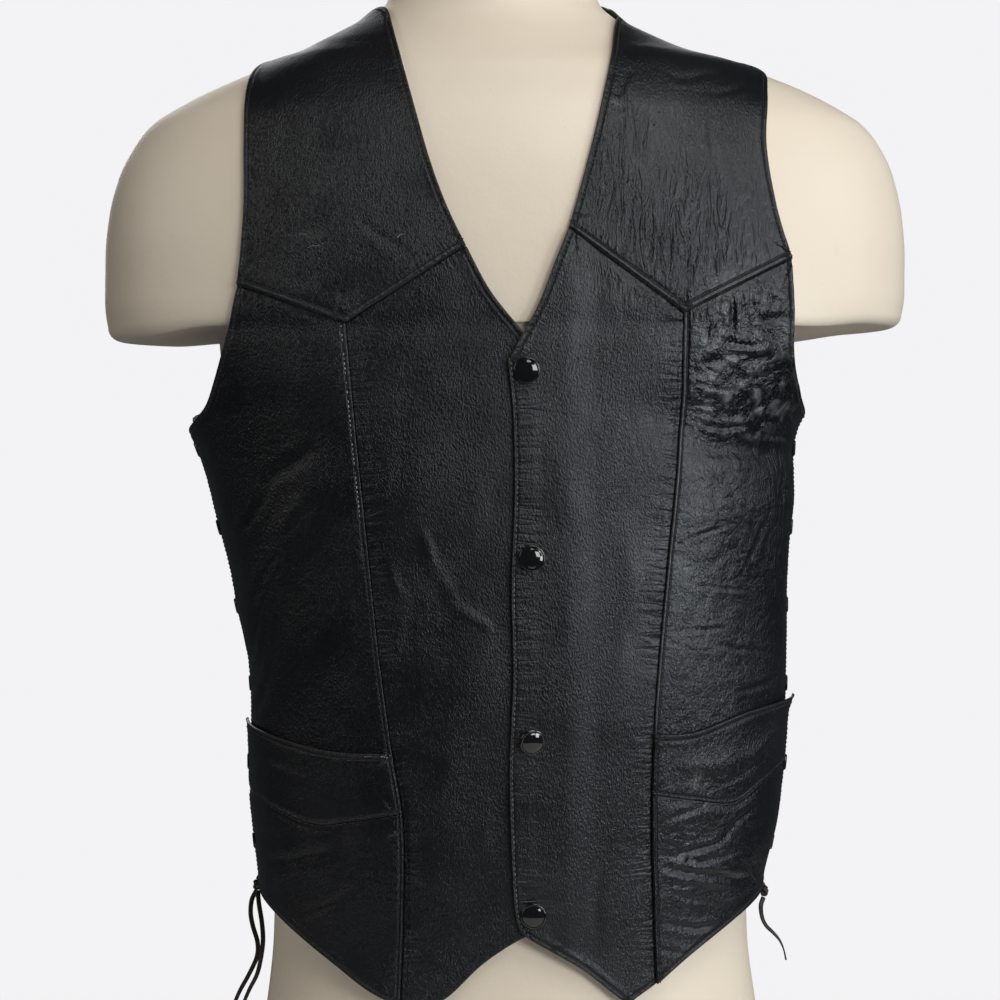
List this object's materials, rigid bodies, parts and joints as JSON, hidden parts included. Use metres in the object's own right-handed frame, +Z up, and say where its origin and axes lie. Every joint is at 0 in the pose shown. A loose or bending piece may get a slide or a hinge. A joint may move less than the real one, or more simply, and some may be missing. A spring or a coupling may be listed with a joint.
{
  "type": "leather vest on a torso dress form",
  "caption": "Side-laced black leather vest with pointed yokes, patch pockets and domed snaps, closed on a headless, armless torso dress form that stands on its flat base.",
  "frame": {"origin": "middle of the dress form's flat base", "axes": "+Z up through the neck, the wearer's front faces -Y and the wearer's left is +X"},
  "size_m": [0.4942, 0.2524, 0.825],
  "materials": {
    "leather": "grained, semi-gloss, creased",
    "form_plastic": "smooth, satin",
    "snap_cap": "glossy black",
    "eyelet_metal": "blackened",
    "thong": "cut leather lace"
  },
  "bodies": {
    "root": {"dress_form": "form_plastic", "back_panel": "leather", "front_yoke_right": "leather", "front_centre_right": "leather", "front_side_right": "leather", "pocket_band_right": "leather", "pocket_panel_right": "leather", "eyelet_front_right_1": "eyelet_metal", "eyelet_front_right_2": "eyelet_metal", "eyelet_front_right_3": "eyelet_metal", "eyelet_front_right_4": "eyelet_metal", "eyelet_front_right_5": "eyelet_metal", "eyelet_front_right_6": "eyelet_metal", "eyelet_back_right_1": "eyelet_metal", "eyelet_back_right_2": "eyelet_metal", "eyelet_back_right_3": "eyelet_metal", "eyelet_back_right_4": "eyelet_metal", "eyelet_back_right_5": "eyelet_metal", "eyelet_back_right_6": "eyelet_metal", "side_lacing_right": "thong", "lace_knot_right": "thong", "front_yoke_left": "leather", "front_centre_left": "leather", "front_side_left": "leather", "pocket_band_left": "leather", "pocket_panel_left": "leather", "eyelet_front_left_1": "eyelet_metal", "eyelet_front_left_2": "eyelet_metal", "eyelet_front_left_3": "eyelet_metal", "eyelet_front_left_4": "eyelet_metal", "eyelet_front_left_5": "eyelet_metal", "eyelet_front_left_6": "eyelet_metal", "eyelet_back_left_1": "eyelet_metal", "eyelet_back_left_2": "eyelet_metal", "eyelet_back_left_3": "eyelet_metal", "eyelet_back_left_4": "eyelet_metal", "eyelet_back_left_5": "eyelet_metal", "eyelet_back_left_6": "eyelet_metal", "side_lacing_left": "thong", "lace_knot_left": "thong", "snap_1": "snap_cap", "snap_2": "snap_cap", "snap_3": "snap_cap", "snap_4": "snap_cap", "lace_end_right_outer": "thong", "lace_end_right_inner": "thong", "lace_end_left_tail": "thong"}
  },
  "joints": []
}
